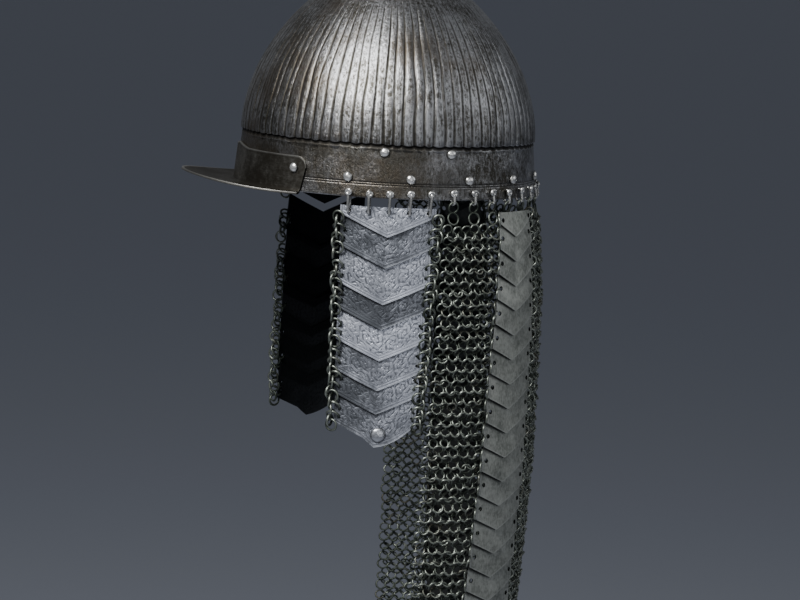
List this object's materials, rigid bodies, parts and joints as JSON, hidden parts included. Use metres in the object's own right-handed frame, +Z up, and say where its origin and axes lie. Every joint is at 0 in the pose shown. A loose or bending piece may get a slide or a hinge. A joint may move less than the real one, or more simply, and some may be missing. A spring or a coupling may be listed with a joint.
{
  "type": "turban helmet with mail neck curtain and plated cheekpieces",
  "caption": "Fluted steel helmet bowl with a riveted peak, cheekpieces of overlapping plates hung on links, and a mail neck curtain with columns of small plates.",
  "frame": {"origin": "centre of the head opening in the plane of the rim, where the helmet sits on a head", "axes": "+Z up to the crown, -Y to the front (the peak), +X to the wearer's left"},
  "size_m": [0.2447, 0.2825, 0.5501],
  "materials": {
    "dark_steel": "dark patinated steel, rubbed brighter on the ridges",
    "plate_steel": "greyish steel engraved with foliage, worn bright in places",
    "bright_steel": "bright steel of rivets, bosses and links",
    "mail_steel": "dark greenish-grey steel rings with bright worn edges",
    "neck_steel": "plain greenish-grey steel plates, dull"
  },
  "bodies": {
    "root": {"skull": "dark_steel", "peak": "dark_steel", "rivet_lower_1": "bright_steel", "rivet_lower_2": "bright_steel", "rivet_lower_3": "bright_steel", "rivet_lower_4": "bright_steel", "rivet_lower_5": "bright_steel", "rivet_lower_6": "bright_steel", "rivet_lower_7": "bright_steel", "rivet_lower_8": "bright_steel", "rivet_lower_9": "bright_steel", "rivet_lower_10": "bright_steel", "rivet_lower_11": "bright_steel", "rivet_upper_left_1": "bright_steel", "rivet_upper_left_2": "bright_steel", "rivet_peak_left": "bright_steel", "rivet_upper_right_1": "bright_steel", "rivet_upper_right_2": "bright_steel", "rivet_peak_right": "bright_steel", "cheek_link_left_1": "bright_steel", "cheek_link_left_2": "bright_steel", "cheek_link_left_3": "bright_steel", "cheek_link_left_4": "bright_steel", "cheek_link_left_5": "bright_steel", "cheek_plate_left_1": "plate_steel", "cheek_plate_left_2": "plate_steel", "cheek_plate_left_3": "plate_steel", "cheek_plate_left_4": "plate_steel", "cheek_plate_left_5": "plate_steel", "cheek_plate_left_6": "plate_steel", "cheek_plate_left_7": "plate_steel", "cheek_plate_left_8": "plate_steel", "cheek_boss_left": "bright_steel", "cheek_mail_left_front": "mail_steel", "cheek_mail_left_back": "mail_steel", "cheek_link_right_1": "bright_steel", "cheek_link_right_2": "bright_steel", "cheek_link_right_3": "bright_steel", "cheek_link_right_4": "bright_steel", "cheek_link_right_5": "bright_steel", "cheek_plate_right_1": "plate_steel", "cheek_plate_right_2": "plate_steel", "cheek_plate_right_3": "plate_steel", "cheek_plate_right_4": "plate_steel", "cheek_plate_right_5": "plate_steel", "cheek_plate_right_6": "plate_steel", "cheek_plate_right_7": "plate_steel", "cheek_plate_right_8": "plate_steel", "cheek_boss_right": "bright_steel", "cheek_mail_right_front": "mail_steel", "cheek_mail_right_back": "mail_steel", "mail_back": "mail_steel", "mail_left": "mail_steel", "mail_right": "mail_steel", "neck_plates_left": "neck_steel", "neck_plates_right": "neck_steel"}
  },
  "joints": []
}
